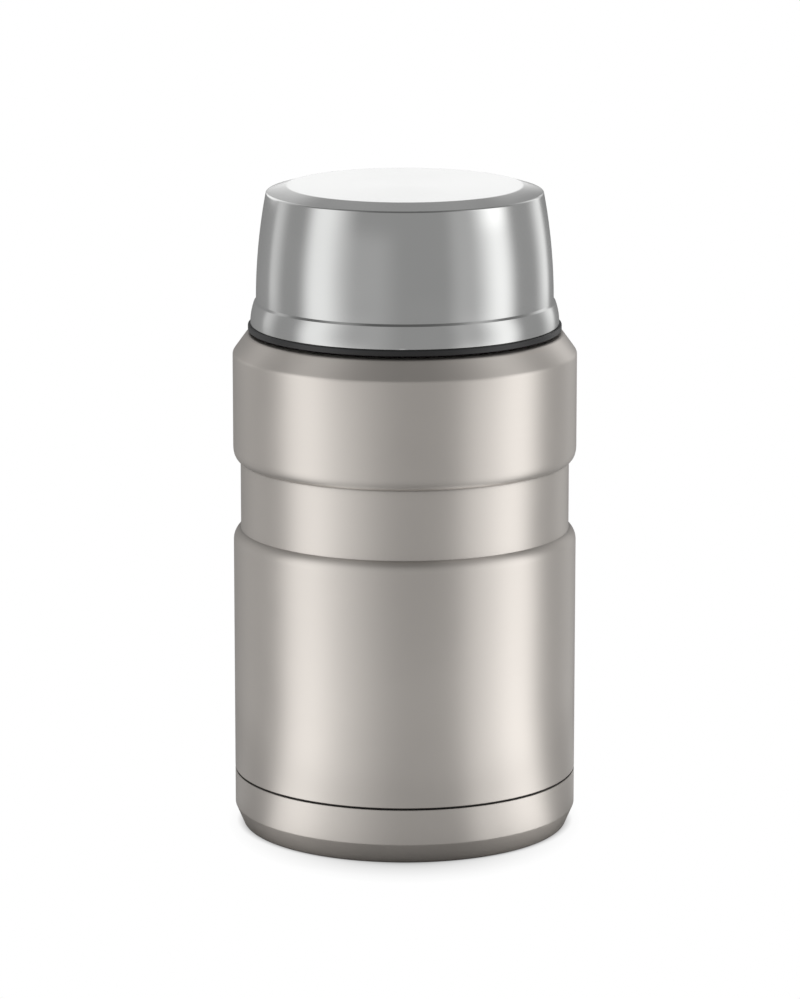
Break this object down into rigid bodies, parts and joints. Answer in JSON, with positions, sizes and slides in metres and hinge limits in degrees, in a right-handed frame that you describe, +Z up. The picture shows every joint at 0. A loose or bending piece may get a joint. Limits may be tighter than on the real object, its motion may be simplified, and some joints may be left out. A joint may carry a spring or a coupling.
{
  "type": "insulated food jar",
  "caption": "Round vacuum-insulated steel food jar with a recessed waist, a black screw stopper with a grip bar, and a steel screw lid that turns over to serve as a bowl.",
  "frame": {"origin": "middle of the face that the jar stands on", "axes": "+Z up along the jar's axis; the stopper's grip bar lies along X"},
  "size_m": [0.108, 0.108, 0.2045],
  "materials": {
    "body_steel": "satin",
    "lid_steel": "satin",
    "inner_steel": "satin",
    "black_plastic": "matte",
    "silicone": "satin",
    "seam_seal": "matte",
    "foam": "matte",
    "copper_foil": "satin",
    "getter_metal": "matte",
    "solder_glass": "gloss"
  },
  "bodies": {
    "jar": {"outer_shell": "body_steel", "base_cap": "body_steel", "base_seal_ring": "seam_seal", "vacuum_bottom": "inner_steel", "seal_bead": "solder_glass", "inner_liner": "inner_steel", "liner_pan": "inner_steel", "radiation_foil": "copper_foil", "getter": "getter_metal", "getter_clip": "inner_steel"},
    "stopper_lift": {"stopper_gasket": "silicone"},
    "stopper": {"stopper_body": "black_plastic", "stopper_cover": "black_plastic", "stopper_foam": "foam"},
    "bowl_lift": {"bowl_foam": "foam"},
    "bowl_lid": {"bowl_shell": "lid_steel", "bowl_collar": "black_plastic", "bowl_liner": "inner_steel"}
  },
  "joints": [
    {"name": "stopper_rise", "type": "slide", "parent": "jar", "child": "stopper_lift", "axis": [0, 0, 1], "range_m": [0, 0.06]},
    {"name": "stopper_turn", "type": "hinge", "parent": "stopper_lift", "child": "stopper", "pos_m": [0, 0, 0.16], "axis": [0, 0, 1], "range_deg": [0, 1800]},
    {"name": "bowl_rise", "type": "slide", "parent": "stopper", "child": "bowl_lift", "axis": [0, 0, 1], "range_m": [0, 0.06]},
    {"name": "bowl_turn", "type": "hinge", "parent": "bowl_lift", "child": "bowl_lid", "pos_m": [0, 0, 0.18], "axis": [0, 0, 1], "range_deg": [0, 1800]}
  ],
  "couplings": [
    {"joint": "stopper_rise", "follows": "stopper_turn", "m_per_rad": 0.0019099},
    {"joint": "bowl_rise", "follows": "bowl_turn", "m_per_rad": 0.0019099}
  ]
}
